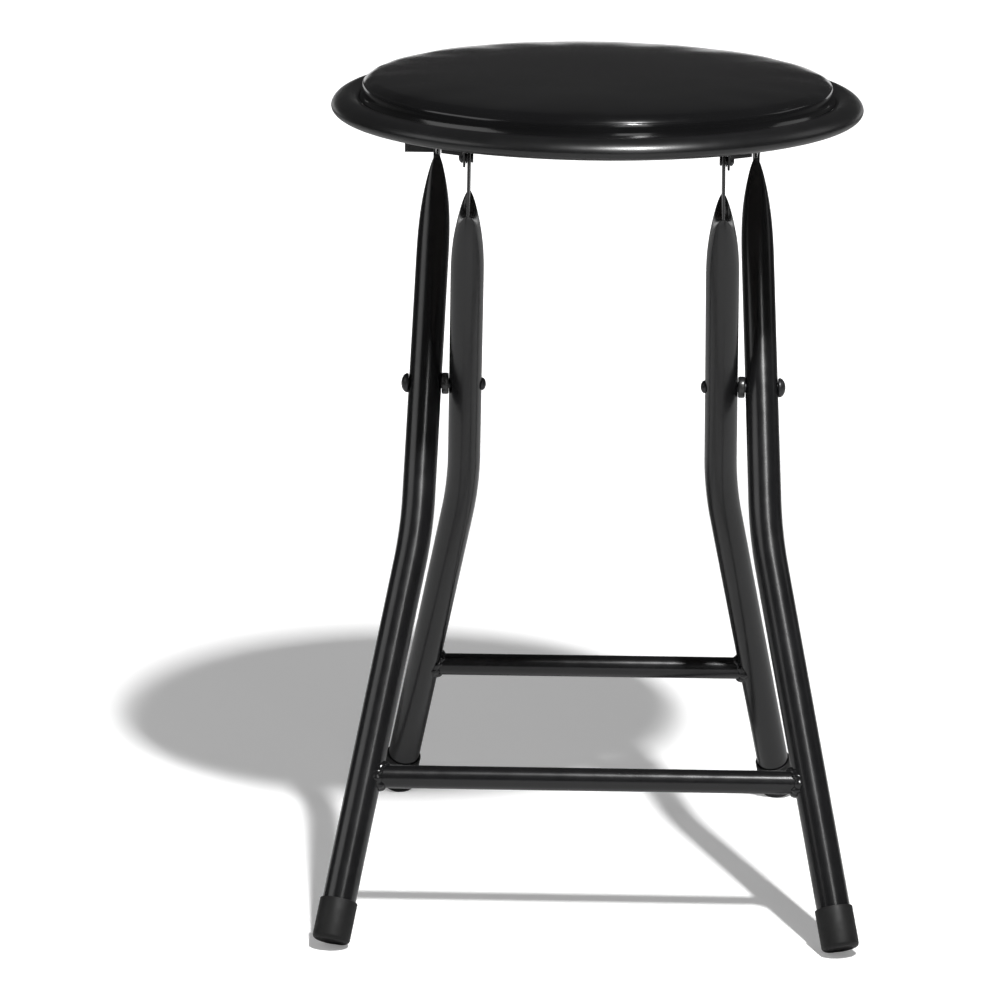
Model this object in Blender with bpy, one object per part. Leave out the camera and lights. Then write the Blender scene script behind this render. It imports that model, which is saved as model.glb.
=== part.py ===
"""Folding stool with a round padded seat, built piece by piece in metres, +Z up."""

import math

import bmesh
import bpy
from mathutils import Matrix, Vector

# Clearances between fitting pieces
FIT_GAP = 0.0003
TURN_GAP = 0.0006

# Seat ring
RIM_OUTER_RADIUS = 0.1539
RIM_WIDTH = 0.018
RIM_HEIGHT = 0.0127
RIM_TOP = 0.4654
RIM_LINE_RADIUS = RIM_OUTER_RADIUS - RIM_WIDTH / 2
RIM_INNER_RADIUS = RIM_OUTER_RADIUS - RIM_WIDTH
RIM_BOTTOM = RIM_TOP - RIM_HEIGHT
RIM_SIDES = 72
RIM_SECTION_SIDES = 14

# Board and cushion inside the ring
BOARD_THICK = 0.009
BOARD_RADIUS = RIM_INNER_RADIUS - FIT_GAP
CUSHION_BASE = RIM_BOTTOM + BOARD_THICK + FIT_GAP
CUSHION_RADIUS = BOARD_RADIUS
CUSHION_THICK = 0.0178
CUSHION_EDGE = 0.0094
CUSHION_SIDES = 64
CROWN_POWER = 2.3
CROWN_STEPS = 9

# Leg tubes
TUBE_RADIUS = 0.00965
TUBE_WALL = 0.0012
TUBE_SIDES = 20
BORE_RADIUS = TUBE_RADIUS - TUBE_WALL
BLADE_HALF_THICK = 0.0009
BLADE_HALF_WIDTH = 0.0138
FLAT_POWER = 0.5
FLAT_STEPS = 11
END_STEPS = 5
BEND_RADIUS = 0.28
BEND_STEPS = 6

# Both frames cross at the centre pivot
PIVOT_HEIGHT = 0.2916
OUTER_LEAN = math.radians(30.38)
INNER_LEAN = math.radians(23.79)
LEG_GAP = 0.0043
OUTER_SPREAD = 0.0988
INNER_SPREAD = OUTER_SPREAD - 2 * TUBE_RADIUS - LEG_GAP
LOWER_SPLAY = math.radians(10.12)
OUTER_UPPER_SPLAY = math.radians(1.8)
INNER_UPPER_SPLAY = math.radians(1.12)
OUTER_BEND_DEPTH = 0.0896
INNER_BEND_DEPTH = 0.0744

# Front pin joins the seat to the inner frame, rear stud carries the hook
PIN_BELOW_RIM = 0.0142
PIN_HEIGHT = RIM_BOTTOM - PIN_BELOW_RIM
INNER_TOP = (PIN_HEIGHT - PIVOT_HEIGHT) / math.cos(INNER_LEAN)
STUD_BELOW_RIM = 0.0248
STUD_HEIGHT = RIM_BOTTOM - STUD_BELOW_RIM
OUTER_TOP = (STUD_HEIGHT - PIVOT_HEIGHT) / math.cos(OUTER_LEAN)
INNER_BLADE_LENGTH = 0.0317
INNER_TAPER_LENGTH = 0.0420
OUTER_BLADE_LENGTH = 0.0195
OUTER_TAPER_LENGTH = 0.0520

# Crossbars
BAR_RADIUS = 0.0067
BAR_SIDES = 20
FRONT_BAR_HEIGHT = 0.0874
REAR_BAR_HEIGHT = 0.0933
WELD_REACH = 0.006
WELD_RADIUS = BAR_RADIUS + 0.0014

# Foot caps
CAP_WALL = 0.0009
CAP_INNER_RADIUS = TUBE_RADIUS + FIT_GAP
CAP_RADIUS = CAP_INNER_RADIUS + CAP_WALL
CAP_LENGTH = 0.024
CAP_FLOOR = 0.004
CAP_ROUND = 0.0025
CAP_SIDES = 20
CAP_FLAT = 0.0005

# Centre rivets and spacers
RIVET_RADIUS = 0.003
RIVET_HOLE = RIVET_RADIUS + FIT_GAP
RIVET_HEAD_RADIUS = 0.00575
RIVET_HEAD_HEIGHT = 0.004
RIVET_TAIL_RADIUS = 0.0038
RIVET_TAIL_HEIGHT = 0.002
SPACER_RADIUS = 0.00635
PIN_SIDES = 20

# Brackets, hooks, pins and studs
PLATE = 0.0012
FRONT_EAR_SPACE = 0.00135
REAR_EAR_SPACE = 0.0018
FLANGE_TOP = RIM_BOTTOM - FIT_GAP
FRONT_FLANGE_WIDTH = 0.0120
REAR_FLANGE_WIDTH = 0.0140
FLANGE_THICK = 0.0020
EAR_TIP = 0.0057
EAR_FRONT = 0.016
EAR_BACK = 0.012
EAR_TIP_STEPS = 8
PIN_RADIUS = 0.0025
PIN_SHOULDER_RADIUS = 0.0034
PIN_HEAD_RADIUS = 0.0032
PIN_HEAD_HEIGHT = 0.0023
PIN_TAIL_RADIUS = 0.0029
PIN_TAIL_HEIGHT = 0.0011
STUD_RADIUS = 0.0035
STUD_HEAD_RADIUS = 0.0055
STUD_HEAD_HEIGHT = 0.0015
NOTCH_RADIUS = STUD_RADIUS + TURN_GAP + FIT_GAP
NOTCH_SLOPE = math.radians(235.0)
NOTCH_STEPS = 7
HOOK_FRONT = 0.020
HOOK_BACK = 0.018
HOOK_TOP_BACK = 0.026
HOOK_TOP_DROP = 0.016
HOOK_DEPTH = 0.0236
HOOK_LIP = 0.0085
HOOK_FINGER_FRONT = 0.0090
HOOK_FINGER_TIP = 0.0058
HOOK_FINGER_DROP = 0.0145
HOOK_CORNER = 0.004
TAB_REACH = 0.0187
TAB_LOW = 0.0167
TAB_TALL = 0.0150

# Screws that hold the board on the bracket plates
SCREW_RADIUS = 0.00175
SCREW_HEAD_RADIUS = 0.0033
SCREW_HEAD_HEIGHT = 0.0020
SCREW_GRIP = 0.0065
SCREW_SIDES = 10
SCREW_FRONT_EDGE = 0.0086
SCREW_FRONT_SPACE = 0.0200
SCREW_REAR_EDGE = 0.0050
SCREW_REAR_SPACE = 0.0140
SCREW_MARGIN = 0.0050

DOME_STEPS = 3
SHARP_ANGLE = math.radians(35.0)
MERGE = 0.00001
SIDES_OF = {"left": -1.0, "right": 1.0}
BLACK_COAT = (0.012, 0.012, 0.013, 1.0)
BLACK_VINYL = (0.008, 0.008, 0.009, 1.0)
BLACK_RUBBER = (0.018, 0.018, 0.018, 1.0)
BARE_STEEL = (0.35, 0.35, 0.36, 1.0)
PLYWOOD = (0.35, 0.24, 0.14, 1.0)
COAT_LOOK = ("coat", BLACK_COAT, 0.4, 0.0)
VINYL_LOOK = ("vinyl", BLACK_VINYL, 0.25, 0.0)
RUBBER_LOOK = ("rubber", BLACK_RUBBER, 0.7, 0.0)
NYLON_LOOK = ("nylon", BLACK_RUBBER, 0.4, 0.0)
STEEL_LOOK = ("steel", BARE_STEEL, 0.35, 1.0)
PLYWOOD_LOOK = ("plywood", PLYWOOD, 0.6, 0.0)


def clear_scene():
    """Remove every object left from before."""
    for item in list(bpy.data.objects):
        bpy.data.objects.remove(item)


def collection(name):
    """Make a collection under the scene."""
    group = bpy.data.collections.new(name)
    bpy.context.scene.collection.children.link(group)
    return group


def material(name, colour, rough, metal):
    """Make one Principled material."""
    made = bpy.data.materials.new(name)
    made.use_nodes = True
    shader = made.node_tree.nodes["Principled BSDF"]
    shader.inputs["Base Color"].default_value = colour
    shader.inputs["Roughness"].default_value = rough
    shader.inputs["Metallic"].default_value = metal
    made.diffuse_color = colour
    return made


def mesh_object(name, vertices, faces, group, look=None):
    """Make an object from points and faces with outward normals."""
    mesh = bpy.data.meshes.new(name)
    mesh.from_pydata([tuple(v) for v in vertices], [], faces)
    work = bmesh.new()
    work.from_mesh(mesh)
    bmesh.ops.remove_doubles(work, verts=work.verts, dist=MERGE)
    bmesh.ops.recalc_face_normals(work, faces=work.faces)
    work.to_mesh(mesh)
    work.free()
    item = bpy.data.objects.new(name, mesh)
    group.objects.link(item)
    if look:
        mesh.materials.append(material(name + "_" + look[0], *look[1:]))
    return item


def tube_faces(rings, sides, closed_loop=False):
    """List the quads joining a row of rings and the end faces."""
    faces = []
    last = rings if closed_loop else rings - 1
    for ring in range(last):
        after = (ring + 1) % rings
        for k in range(sides):
            m = (k + 1) % sides
            faces.append((ring * sides + k, ring * sides + m,
                          after * sides + m, after * sides + k))
    if not closed_loop:
        faces.append(tuple(range(sides))[::-1])
        faces.append(tuple((rings - 1) * sides + k for k in range(sides)))
    return faces


def axes_of(direction):
    """Give two directions square to the one passed in."""
    along = direction.normalized()
    helper = Vector((0, 1, 0)) if abs(along.x) > abs(along.y) else Vector((1, 0, 0))
    first = (helper - along * helper.dot(along)).normalized()
    return along, first, along.cross(first)


def lathe_points(profile, origin, direction, sides):
    """Turn a profile of radius and distance pairs about an axis."""
    along, first, second = axes_of(direction)
    points = []
    for radius, distance in profile:
        for k in range(sides):
            angle = 2 * math.pi * k / sides
            spoke = first * math.cos(angle) + second * math.sin(angle)
            points.append(origin + along * distance + spoke * radius)
    return points


def lathe(name, profile, origin, direction, sides, group, look=None):
    """Turn an open profile that starts and ends on a flat face."""
    points = lathe_points(profile, origin, direction, sides)
    return mesh_object(name, points, tube_faces(len(profile), sides), group, look)


def ring_lathe(name, profile, origin, direction, sides, group, look=None):
    """Turn a closed profile that stays off the axis."""
    points = lathe_points(profile, origin, direction, sides)
    faces = tube_faces(len(profile), sides, True)
    return mesh_object(name, points, faces, group, look)


def dome(radius, height, start, outward):
    """Give the profile of a dome that rises from its rim to a small flat."""
    steps = []
    for k in range(DOME_STEPS + 1):
        angle = math.pi / 2 * k / (DOME_STEPS + 0.6)
        steps.append((radius * math.cos(angle), start + outward * height * math.sin(angle)))
    return steps


def prism(name, outline, low, high, place, group, look=None):
    """Push an outline through from one level to another."""
    count = len(outline)
    points = [place(a, b, low) for a, b in outline]
    points += [place(a, b, high) for a, b in outline]
    return mesh_object(name, points, tube_faces(2, count), group, look)


def boolean(item, other, kind):
    """Join or cut two closed bodies and keep the result in the first."""
    step = item.modifiers.new(kind.lower(), "BOOLEAN")
    step.operation = kind
    step.solver = "EXACT"
    step.object = other
    bpy.context.view_layer.update()
    graph = bpy.context.evaluated_depsgraph_get()
    result = bpy.data.meshes.new_from_object(item.evaluated_get(graph))
    item.modifiers.clear()
    item.data = result
    work = bmesh.new()
    work.from_mesh(result)
    bmesh.ops.remove_doubles(work, verts=work.verts, dist=MERGE)
    work.to_mesh(result)
    work.free()
    bpy.data.objects.remove(other)


def cutter_pin(centre, direction, radius, reach, group):
    """Make a round cutter along a line through a point."""
    profile = [(radius, -reach), (radius, reach)]
    item = lathe("cutter", profile, centre, direction, PIN_SIDES, group)
    item.hide_render = True
    item.display_type = "WIRE"
    return item


class Frame:
    """Sizes of one pair of legs and where points along it lie."""

    def __init__(self, name, lean, spread, splay, bend, top, blade, taper, bar):
        self.name = name
        self.spread = spread
        self.splay = splay
        self.bend = bend
        self.top = top
        self.blade = blade
        self.taper = taper
        self.down = Vector((0, math.sin(lean), -math.cos(lean)))
        self.bar = (PIVOT_HEIGHT - bar) / math.cos(lean)
        tilt = math.acos(math.cos(lean) * math.cos(LOWER_SPLAY))
        sole = (CAP_RADIUS - CAP_ROUND) * math.sin(tilt)
        sole += CAP_ROUND * (1 - math.cos(tilt)) - CAP_FLAT
        self.sole = (PIVOT_HEIGHT - sole) / math.cos(lean)

    def station(self, distance):
        """Give the half spread and splay at a distance below the pivot."""
        turn = (LOWER_SPLAY - self.splay) / 2
        tangent = BEND_RADIUS * math.tan(turn)
        upper = self.spread + self.bend * math.tan(self.splay)
        if distance < self.bend - tangent * math.cos(self.splay):
            return self.spread + distance * math.tan(self.splay), self.splay
        if distance > self.bend + tangent * math.cos(LOWER_SPLAY):
            return upper + (distance - self.bend) * math.tan(LOWER_SPLAY), LOWER_SPLAY
        start = self.bend - tangent * math.cos(self.splay)
        begin = self.spread + start * math.tan(self.splay)
        sine_start = distance - start + BEND_RADIUS * math.sin(self.splay)
        angle = math.asin(sine_start / BEND_RADIUS)
        rise = BEND_RADIUS * (math.cos(self.splay) - math.cos(angle))
        return begin + rise, angle

    def point(self, side, distance):
        """Give the middle of the leg and its own three directions."""
        half, angle = self.station(distance)
        middle = Vector((side * half, 0, PIVOT_HEIGHT)) + self.down * distance
        along = Vector((side * math.sin(angle), 0, 0)) + self.down * math.cos(angle)
        across = Vector((side * math.cos(angle), 0, 0)) - self.down * math.sin(angle)
        return middle, along, across, along.cross(across)

    def bends(self):
        """List the distances where the bend needs a ring."""
        turn = (LOWER_SPLAY - self.splay) / 2
        tangent = BEND_RADIUS * math.tan(turn)
        low = self.bend - tangent
        return [low + 2 * tangent * k / BEND_STEPS for k in range(BEND_STEPS + 1)]


OUTER = Frame("outer", -OUTER_LEAN, OUTER_SPREAD, OUTER_UPPER_SPLAY, OUTER_BEND_DEPTH,
              OUTER_TOP, OUTER_BLADE_LENGTH, OUTER_TAPER_LENGTH, FRONT_BAR_HEIGHT)
INNER = Frame("inner", INNER_LEAN, INNER_SPREAD, INNER_UPPER_SPLAY, INNER_BEND_DEPTH,
              INNER_TOP, INNER_BLADE_LENGTH, INNER_TAPER_LENGTH, REAR_BAR_HEIGHT)
PIN_Y = -INNER_TOP * math.sin(INNER_LEAN)
STUD_Y = OUTER_TOP * math.sin(OUTER_LEAN)


def section(frame, side, distance, half_thick, half_width):
    """Give one ring of a round or flattened tube."""
    middle, along, across, wide = frame.point(side, distance)
    straight = half_width - half_thick
    ring = []
    half = TUBE_SIDES // 2
    for end in (1, -1):
        for k in range(half):
            turn = math.pi * (k + 0.5) / half
            out = end * half_thick * math.cos(turn)
            over = end * (straight + half_thick * math.sin(turn))
            ring.append(middle + across * out + wide * over)
    return ring


def leg_rings(frame, side):
    """List the rings of a leg from its blade end to its open foot."""
    rings = []
    for k in range(END_STEPS, -1, -1):
        turn = math.radians(76.0) * k / END_STEPS
        distance = -frame.top - BLADE_HALF_WIDTH * math.sin(turn)
        width = BLADE_HALF_WIDTH * math.cos(turn)
        rings.append(section(frame, side, distance, BLADE_HALF_THICK, width))
    start = -frame.top + frame.blade
    for k in range(FLAT_STEPS + 1):
        share = (k / FLAT_STEPS) ** 1.6
        thick = BLADE_HALF_THICK
        thick += (TUBE_RADIUS - thick) * math.sin(math.pi / 2 * share ** FLAT_POWER)
        lost = (TUBE_RADIUS - thick) / (TUBE_RADIUS - BLADE_HALF_THICK)
        width = thick + (BLADE_HALF_WIDTH - BLADE_HALF_THICK) * lost
        rings.append(section(frame, side, start + frame.taper * share, thick, width))
    for distance in [0.0] + frame.bends() + [frame.bar, foot_end(frame)]:
        rings.append(section(frame, side, distance, TUBE_RADIUS, TUBE_RADIUS))
    for distance in [foot_end(frame)] + frame.bends()[::-1] + [0.0]:
        rings.append(section(frame, side, distance, BORE_RADIUS, BORE_RADIUS))
    deep = start + frame.taper + 2 * TUBE_WALL
    rings.append(section(frame, side, deep, BORE_RADIUS, BORE_RADIUS))
    return rings


def foot_end(frame):
    """Give the distance at which the tube ends inside its cap."""
    return frame.sole - (CAP_FLOOR + FIT_GAP) * math.cos(LOWER_SPLAY)


def leg(frame, name, side, parts, cutters):
    """Make one tube leg with its flattened drilled top."""
    rings = leg_rings(frame, side)
    points = [p for ring in rings for p in ring]
    item = mesh_object(frame.name + "_leg_" + name, points,
                       tube_faces(len(rings), TUBE_SIDES), parts,
                       COAT_LOOK)
    top_hole = STUD_RADIUS if frame is OUTER else PIN_RADIUS
    for distance, radius in ((0.0, RIVET_RADIUS), (-frame.top, top_hole)):
        middle = frame.point(side, distance)[0]
        pin = cutter_pin(middle, Vector((1, 0, 0)), radius + FIT_GAP, 2 * TUBE_RADIUS, cutters)
        boolean(item, pin, "DIFFERENCE")
    return item


def crossbar(frame, parts, cutters):
    """Make the bar welded between two legs, shaped to each leg at its ends."""
    half = frame.point(1, frame.bar)[0]
    weld = half.x - TUBE_RADIUS - WELD_REACH
    profile = [(WELD_RADIUS, -half.x), (BAR_RADIUS, -weld), (BAR_RADIUS, weld),
               (WELD_RADIUS, half.x)]
    centre = Vector((0, half.y, half.z))
    item = lathe(frame.name + "_crossbar", profile, centre, Vector((1, 0, 0)), BAR_SIDES,
                 parts, COAT_LOOK)
    for side in SIDES_OF.values():
        middle, along = frame.point(side, frame.bar)[:2]
        cope = cutter_pin(middle, along, TUBE_RADIUS + FIT_GAP, 2 * TUBE_RADIUS, cutters)
        boolean(item, cope, "DIFFERENCE")
    return item


def foot_cap(frame, name, side, parts, cutters):
    """Make a rubber cap pushed over the tube end and flat where it rests."""
    middle, along = frame.point(side, frame.sole)[:2]
    profile = [(0.0, -CAP_FLOOR), (CAP_INNER_RADIUS, -CAP_FLOOR),
               (CAP_INNER_RADIUS, -CAP_LENGTH), (CAP_RADIUS, -CAP_LENGTH)]
    for k in range(DOME_STEPS + 1):
        turn = math.pi / 2 * k / DOME_STEPS
        profile.append((CAP_RADIUS - CAP_ROUND * (1 - math.cos(turn)),
                        -CAP_ROUND * (1 - math.sin(turn))))
    profile.append((0.0, 0.0))
    item = lathe(frame.name + "_foot_" + name, profile[1:-1], middle, along, CAP_SIDES,
                 parts, RUBBER_LOOK)
    square = 2 * CAP_RADIUS
    outline = [(-square, -square), (square, -square), (square, square), (-square, square)]
    floor = prism("cutter", outline, -square, 0.0,
                  lambda a, b, c: Vector((middle.x + a, middle.y + b, c)), cutters)
    boolean(item, floor, "DIFFERENCE")
    return item


def pivot_rivet(name, side, parts):
    """Make the domed rivet through both tubes."""
    start = INNER_SPREAD - TUBE_RADIUS - FIT_GAP
    end = OUTER_SPREAD + TUBE_RADIUS + FIT_GAP
    profile = dome(RIVET_TAIL_RADIUS, RIVET_TAIL_HEIGHT, start, -1)[::-1]
    profile += [(RIVET_RADIUS, start), (RIVET_RADIUS, end)]
    profile += dome(RIVET_HEAD_RADIUS, RIVET_HEAD_HEIGHT, end, 1)
    lathe("pivot_rivet_" + name, profile, Vector((0, 0, PIVOT_HEIGHT)),
          Vector((side, 0, 0)), PIN_SIDES, parts, STEEL_LOOK)


def pivot_spacer(name, side, parts):
    """Make the bush that keeps the two tubes apart."""
    start = INNER_SPREAD + TUBE_RADIUS + FIT_GAP
    end = OUTER_SPREAD - TUBE_RADIUS - FIT_GAP
    profile = [(RIVET_HOLE, start), (SPACER_RADIUS, start), (SPACER_RADIUS, end),
               (RIVET_HOLE, end)]
    ring_lathe("pivot_spacer_" + name, profile, Vector((0, 0, PIVOT_HEIGHT)),
               Vector((side, 0, 0)), PIN_SIDES, parts, NYLON_LOOK)


def seat_rim(parts):
    """Turn the flat oval ring around the cushion."""
    profile = []
    for k in range(RIM_SECTION_SIDES):
        turn = 2 * math.pi * k / RIM_SECTION_SIDES
        profile.append((RIM_LINE_RADIUS + RIM_WIDTH / 2 * math.cos(turn),
                        RIM_TOP - RIM_HEIGHT / 2 + RIM_HEIGHT / 2 * math.sin(turn)))
    ring_lathe("seat_rim", profile, Vector((0, 0, 0)), Vector((0, 0, 1)), RIM_SIDES,
               parts, COAT_LOOK)


def seat_board(parts, cutters):
    """Make the round board under the cushion with its screw holes."""
    profile = [(BOARD_RADIUS, RIM_BOTTOM), (BOARD_RADIUS, RIM_BOTTOM + BOARD_THICK)]
    item = lathe("seat_board", profile, Vector((0, 0, 0)), Vector((0, 0, 1)),
                 RIM_SIDES, parts, PLYWOOD_LOOK)
    for place in screw_places():
        centre = Vector((place[0], place[1], RIM_BOTTOM))
        hole = cutter_pin(centre, Vector((0, 0, 1)), SCREW_RADIUS + FIT_GAP,
                          SCREW_GRIP, cutters)
        boolean(item, hole, "DIFFERENCE")
    return item


def seat_cushion(parts):
    """Turn the padded disc with its drawn-in side and gentle crown."""
    profile = [(CUSHION_RADIUS - CUSHION_EDGE / 3, CUSHION_BASE),
               (CUSHION_RADIUS, CUSHION_BASE + CUSHION_EDGE / 3)]
    crown = CUSHION_THICK - CUSHION_EDGE * 2 / 3
    for k in range(CROWN_STEPS, -1, -1):
        share = math.sin(math.pi / 2 * (k + 0.7) / (CROWN_STEPS + 1))
        rise = (1 - share ** CROWN_POWER) ** (1 / CROWN_POWER)
        profile.append((CUSHION_RADIUS * share,
                        CUSHION_BASE + CUSHION_EDGE * 2 / 3 + crown * rise))
    lathe("seat_cushion", profile, Vector((0, 0, 0)), Vector((0, 0, 1)), CUSHION_SIDES,
          parts, VINYL_LOOK)


def blade_face(frame):
    """Give the outer face of the flattened top at its hole."""
    return frame.point(1, -frame.top)[0].x + BLADE_HALF_THICK


def front_ear():
    """Give the inner face of the front bracket's upright plate."""
    return blade_face(INNER) + FRONT_EAR_SPACE


def rear_ear():
    """Give the inner face of the rear hook's upright plate."""
    return blade_face(OUTER) + REAR_EAR_SPACE


def screw_row(ear, width, edge, space):
    """Give where two screws stand between an upright and the board's edge."""
    across = ear + PLATE + (width - PLATE) / 2
    far = math.sqrt((BOARD_RADIUS - edge) ** 2 - across ** 2)
    return across, far, far - space


def screw_places():
    """List where the eight board screws stand."""
    places = []
    for side in SIDES_OF.values():
        across, far, near = screw_row(front_ear(), FRONT_FLANGE_WIDTH, SCREW_FRONT_EDGE,
                                      SCREW_FRONT_SPACE)
        places += [(side * across, -near), (side * across, -far)]
        across, far, near = screw_row(rear_ear(), REAR_FLANGE_WIDTH, SCREW_REAR_EDGE,
                                      SCREW_REAR_SPACE)
        places += [(side * across, near), (side * across, far)]
    return places


def flange(side, inner, width, near, sign, parts):
    """Make the flat plate that runs from the upright to the ring."""
    outer = inner + width
    outline = [(inner, near), (outer, near),
               (outer, sign * math.sqrt(RIM_LINE_RADIUS ** 2 - outer ** 2)),
               (inner, sign * math.sqrt(RIM_LINE_RADIUS ** 2 - inner ** 2))]
    return prism("plate", outline, FLANGE_TOP - FLANGE_THICK, FLANGE_TOP,
                 lambda a, b, c: Vector((side * a, b, c)), parts)


def drill_screws(item, cutters):
    """Cut the screw holes of a plate."""
    for across, along in screw_places():
        hole = cutter_pin(Vector((across, along, FLANGE_TOP)), Vector((0, 0, 1)),
                          SCREW_RADIUS + FIT_GAP, 2 * FLANGE_THICK, cutters)
        boolean(item, hole, "DIFFERENCE")


def front_bracket(name, side, parts, cutters):
    """Make the bent plate hung on the front pin."""
    outline = [(PIN_Y - EAR_FRONT, FLANGE_TOP), (PIN_Y + EAR_BACK, FLANGE_TOP)]
    for k in range(EAR_TIP_STEPS + 1):
        turn = -math.pi * k / EAR_TIP_STEPS
        outline.append((PIN_Y + EAR_TIP * math.cos(turn),
                        PIN_HEIGHT + EAR_TIP * math.sin(turn)))
    inner = front_ear()
    item = prism("front_bracket_" + name, outline, inner, inner + PLATE,
                 lambda a, b, c: Vector((side * c, a, b)), parts,
                 COAT_LOOK)
    screw = screw_row(inner, FRONT_FLANGE_WIDTH, SCREW_FRONT_EDGE, SCREW_FRONT_SPACE)[2]
    near = max(PIN_Y + EAR_BACK, SCREW_MARGIN - screw)
    plate = flange(side, inner, FRONT_FLANGE_WIDTH, near, -1, parts)
    boolean(item, plate, "UNION")
    hole = cutter_pin(Vector((side * inner, PIN_Y, PIN_HEIGHT)), Vector((1, 0, 0)),
                      PIN_RADIUS + FIT_GAP, 2 * PLATE, cutters)
    boolean(item, hole, "DIFFERENCE")
    drill_screws(item, cutters)
    return item


def hook_outline():
    """List the corners of the hook plate with its open notch."""
    back = STUD_Y + HOOK_BACK
    low = STUD_HEIGHT - HOOK_DEPTH
    outline = [(STUD_Y - HOOK_FRONT, FLANGE_TOP), (STUD_Y + HOOK_TOP_BACK, FLANGE_TOP),
               (back, FLANGE_TOP - HOOK_TOP_DROP), (back, low + HOOK_CORNER),
               (back - HOOK_CORNER, low), (STUD_Y + HOOK_FINGER_TIP, low),
               (STUD_Y + HOOK_FINGER_FRONT, STUD_HEIGHT - HOOK_FINGER_DROP)]
    reach = HOOK_LIP + TURN_GAP
    run = Vector((math.cos(NOTCH_SLOPE), math.sin(NOTCH_SLOPE)))
    side = Vector((-run.y, run.x))
    corner = Vector((STUD_Y, STUD_HEIGHT)) + side * NOTCH_RADIUS + run * reach
    outline.append((corner.x, corner.y))
    first = NOTCH_SLOPE - 1.5 * math.pi
    for k in range(NOTCH_STEPS + 1):
        turn = first + math.pi * k / NOTCH_STEPS
        outline.append((STUD_Y + NOTCH_RADIUS * math.cos(turn),
                        STUD_HEIGHT + NOTCH_RADIUS * math.sin(turn)))
    corner = Vector((STUD_Y, STUD_HEIGHT)) - side * NOTCH_RADIUS + run * HOOK_LIP * 0.5
    outline.append((corner.x, corner.y))
    outline.append((STUD_Y - HOOK_FRONT + HOOK_CORNER, corner.y + HOOK_CORNER))
    return outline


def rear_hook(name, side, parts, cutters):
    """Make the hooked plate that drops over the rear stud."""
    inner = rear_ear()
    item = prism("rear_hook_" + name, hook_outline(), inner, inner + PLATE,
                 lambda a, b, c: Vector((side * c, a, b)), parts,
                 COAT_LOOK)
    screw = screw_row(inner, REAR_FLANGE_WIDTH, SCREW_REAR_EDGE, SCREW_REAR_SPACE)[2]
    near = min(STUD_Y - HOOK_FRONT, screw - SCREW_MARGIN)
    plate = flange(side, inner, REAR_FLANGE_WIDTH, near, 1, parts)
    boolean(item, plate, "UNION")
    if name == "left":
        back = STUD_Y + HOOK_BACK
        low = STUD_HEIGHT - TAB_LOW
        outline = [(inner, low), (inner + TAB_REACH, low),
                   (inner + TAB_REACH, low + TAB_TALL), (inner, low + TAB_TALL)]
        tab = prism("tab", outline, back - PLATE, back,
                    lambda a, b, c: Vector((side * a, c, b)), parts)
        boolean(item, tab, "UNION")
    drill_screws(item, cutters)
    return item


def front_pin(name, side, parts):
    """Make the shouldered rivet between bracket and inner leg."""
    face = blade_face(INNER)
    tail = face - 2 * BLADE_HALF_THICK - FIT_GAP
    head = front_ear() + PLATE + FIT_GAP
    profile = [(PIN_TAIL_RADIUS, tail - PIN_TAIL_HEIGHT), (PIN_TAIL_RADIUS, tail),
               (PIN_RADIUS, tail), (PIN_RADIUS, face + FIT_GAP),
               (PIN_SHOULDER_RADIUS, face + FIT_GAP),
               (PIN_SHOULDER_RADIUS, front_ear() - FIT_GAP),
               (PIN_RADIUS, front_ear() - FIT_GAP), (PIN_RADIUS, head)]
    profile += dome(PIN_HEAD_RADIUS, PIN_HEAD_HEIGHT, head, 1)
    lathe("front_pin_" + name, profile, Vector((0, PIN_Y, PIN_HEIGHT)),
          Vector((side, 0, 0)), PIN_SIDES, parts, STEEL_LOOK)


def rear_stud(name, side, parts):
    """Make the headed stud on the outer leg that the hook drops over."""
    face = blade_face(OUTER)
    tail = face - 2 * BLADE_HALF_THICK - FIT_GAP
    head = rear_ear() + PLATE + TURN_GAP
    profile = [(STUD_HEAD_RADIUS, tail - STUD_HEAD_HEIGHT), (STUD_HEAD_RADIUS, tail),
               (STUD_RADIUS, tail), (STUD_RADIUS, head), (STUD_HEAD_RADIUS, head),
               (STUD_HEAD_RADIUS, head + STUD_HEAD_HEIGHT)]
    lathe("rear_stud_" + name, profile, Vector((0, STUD_Y, STUD_HEIGHT)),
          Vector((side, 0, 0)), PIN_SIDES, parts, STEEL_LOOK)


def board_screws(parts):
    """Make the eight alike board screws."""
    head = FLANGE_TOP - FLANGE_THICK - FIT_GAP
    profile = dome(SCREW_HEAD_RADIUS, SCREW_HEAD_HEIGHT, head, -1)[::-1]
    profile += [(SCREW_RADIUS, head), (SCREW_RADIUS, RIM_BOTTOM + SCREW_GRIP - FIT_GAP)]
    for number, (across, along) in enumerate(screw_places(), 1):
        lathe("board_screw_" + str(number), profile, Vector((across, along, 0)),
              Vector((0, 0, 1)), SCREW_SIDES, parts, STEEL_LOOK)


def shade_round(parts):
    """Shade the pieces smooth and keep their sharp edges."""
    for item in parts.objects:
        item.data.shade_smooth()
        item.data.set_sharp_from_angle(angle=SHARP_ANGLE)


def centre_over_floor(parts):
    """Shift the stool along Y so its footprint and seat are centred together."""
    levels = [v.co.y for item in parts.objects for v in item.data.vertices]
    shift = -(min(levels) + max(levels)) / 2
    for item in parts.objects:
        item.data.transform(Matrix.Translation((0, shift, 0)))
    return shift


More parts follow.
